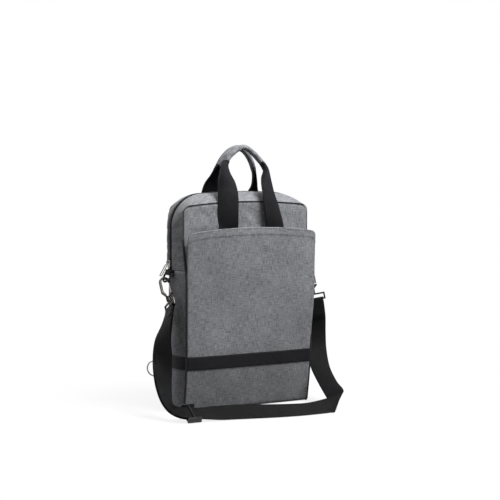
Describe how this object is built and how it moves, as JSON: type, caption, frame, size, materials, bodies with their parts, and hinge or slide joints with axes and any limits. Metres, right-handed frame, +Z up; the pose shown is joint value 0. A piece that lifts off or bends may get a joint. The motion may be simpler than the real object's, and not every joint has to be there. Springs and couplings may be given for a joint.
{
  "type": "messenger bag",
  "caption": "Tall soft laptop bag with arched zip top, front and back slip pockets, carry handles, clip-on shoulder strap and lower ring tabs.",
  "frame": {"origin": "on the floor, at the middle of the base panel", "axes": "+X to the bag's right seen from the front, -Y to the front, +Z up"},
  "size_m": [0.3947, 0.2495, 0.5078],
  "materials": {
    "melange_fabric": "melange woven polyester",
    "grip_fabric": "melange woven polyester over foam",
    "webbing": "ribbed polyester webbing",
    "piping": "woven piping over cord",
    "zip_tape": "herringbone zip tape with nylon coil",
    "lining": "plain woven lining",
    "foam": "closed-cell foam",
    "base_board": "grained polyethylene board",
    "zinc_alloy": "gunmetal-plated die-cast zinc alloy",
    "black_acetal": "moulded acetal"
  },
  "bodies": {
    "bag": {"base_panel": "melange_fabric", "base_board": "base_board", "left_side_gusset": "melange_fabric", "right_side_gusset": "melange_fabric", "front_panel": "melange_fabric", "back_panel": "melange_fabric", "back_foam": "foam", "rear_zip_gusset": "melange_fabric", "front_zip_gusset_left": "melange_fabric", "front_zip_gusset_right": "melange_fabric", "rear_zip_tape": "zip_tape", "front_zip_tape_left": "zip_tape", "front_zip_tape_right": "zip_tape", "lining": "lining", "laptop_divider": "lining", "organiser_pocket": "lining", "front_pocket_panel": "melange_fabric", "front_pocket_gusset_left": "melange_fabric", "front_pocket_gusset_right": "melange_fabric", "back_pocket_panel": "melange_fabric", "back_pocket_gusset_left": "melange_fabric", "back_pocket_gusset_right": "melange_fabric", "bottom_band": "webbing", "piping_left": "piping", "piping_right": "piping", "handle_anchors": "webbing", "left_side_tab": "webbing", "right_side_tab": "webbing", "left_swivel_eye": "zinc_alloy", "right_swivel_eye": "zinc_alloy", "lower_left_tab": "webbing", "lower_right_tab": "webbing", "zip_bottom_stop": "zinc_alloy", "zip_top_stop": "zinc_alloy", "shoulder_strap": "webbing", "strap_return": "webbing"},
    "mouth": {"front_top_panel": "melange_fabric", "front_zip_gusset_top": "melange_fabric", "front_zip_tape_top": "zip_tape"},
    "front_handle": {"front_handle_left_leg": "webbing", "front_handle_right_leg": "webbing", "front_handle_grip": "grip_fabric"},
    "rear_handle": {"rear_handle_left_leg": "webbing", "rear_handle_right_leg": "webbing", "rear_handle_grip": "grip_fabric"},
    "zip_slider": {"zip_slider": "zinc_alloy"},
    "zip_pull": {"zip_pull": "zinc_alloy"},
    "left_ring": {"left_d_ring": "zinc_alloy"},
    "right_ring": {"right_d_ring": "zinc_alloy"},
    "left_hook": {"left_hook": "zinc_alloy"},
    "right_hook": {"right_hook": "zinc_alloy"},
    "left_gate": {"left_hook_gate": "zinc_alloy"},
    "right_gate": {"right_hook_gate": "zinc_alloy"},
    "strap_slider": {"strap_slider": "black_acetal"},
    "lower_left_ring": {"lower_left_ring": "zinc_alloy"},
    "lower_right_ring": {"lower_right_ring": "zinc_alloy"}
  },
  "joints": [
    {"name": "mouth_fold", "type": "hinge", "parent": "bag", "child": "mouth", "pos_m": [0, -0.042, 0.345], "axis": [1, 0, 0], "range_deg": [0, 35]},
    {"name": "front_handle_swing", "type": "hinge", "parent": "mouth", "child": "front_handle", "pos_m": [0, -0.045, 0.346], "axis": [-1, 0, 0], "range_deg": [-80, 0]},
    {"name": "rear_handle_swing", "type": "hinge", "parent": "bag", "child": "rear_handle", "pos_m": [0, 0.045, 0.346], "axis": [-1, 0, 0], "range_deg": [0, 80]},
    {"name": "zip_slide", "type": "slide", "parent": "bag", "child": "zip_slider", "axis": [0, 0, 1], "range_m": [0, 0.055]},
    {"name": "zip_pull_swing", "type": "hinge", "parent": "zip_slider", "child": "zip_pull", "pos_m": [-0.1478, 0, 0.283], "axis": [0, 1, 0], "range_deg": [0, 110]},
    {"name": "left_ring_swing", "type": "hinge", "parent": "bag", "child": "left_ring", "pos_m": [-0.1475, -0.006, 0.262], "axis": [0, 1, 0], "range_deg": [-5, 0]},
    {"name": "right_ring_swing", "type": "hinge", "parent": "bag", "child": "right_ring", "pos_m": [0.1475, -0.006, 0.262], "axis": [0, 1, 0], "range_deg": [-4, 4]},
    {"name": "left_hook_swivel", "type": "hinge", "parent": "bag", "child": "left_hook", "pos_m": [-0.15704, -0.006, 0.24674], "axis": [0, 0.5, 0.866], "range_deg": [-15, 15]},
    {"name": "right_hook_swivel", "type": "hinge", "parent": "bag", "child": "right_hook", "pos_m": [0.16023, -0.006, 0.24927], "axis": [-0.1556, 0.1045, 0.9823], "range_deg": [-15, 15]},
    {"name": "left_gate_spring", "type": "hinge", "parent": "left_hook", "child": "left_gate", "pos_m": [-0.14764, -0.0163, 0.22889], "axis": [0, -0.866, 0.5], "range_deg": [0, 22], "stiffness_Nm_per_rad": 0.02, "springref_deg": -22.92},
    {"name": "right_gate_spring", "type": "hinge", "parent": "right_hook", "child": "right_gate", "pos_m": [0.17272, -0.00815, 0.23051], "axis": [-0.0164, -0.9945, 0.1032], "range_deg": [0, 22], "stiffness_Nm_per_rad": 0.02, "springref_deg": -22.92},
    {"name": "strap_slider_slide", "type": "slide", "parent": "bag", "child": "strap_slider", "axis": [0.9928, -0.1181, 0.0208], "range_m": [0, 0.008]},
    {"name": "lower_left_ring_swing", "type": "hinge", "parent": "bag", "child": "lower_left_ring", "pos_m": [-0.15055, 0.05593, 0.071], "axis": [0, 0, 1], "range_deg": [-70, 70]},
    {"name": "lower_right_ring_swing", "type": "hinge", "parent": "bag", "child": "lower_right_ring", "pos_m": [0.15055, 0.05593, 0.071], "axis": [0, 0, -1], "range_deg": [-70, 70]}
  ]
}
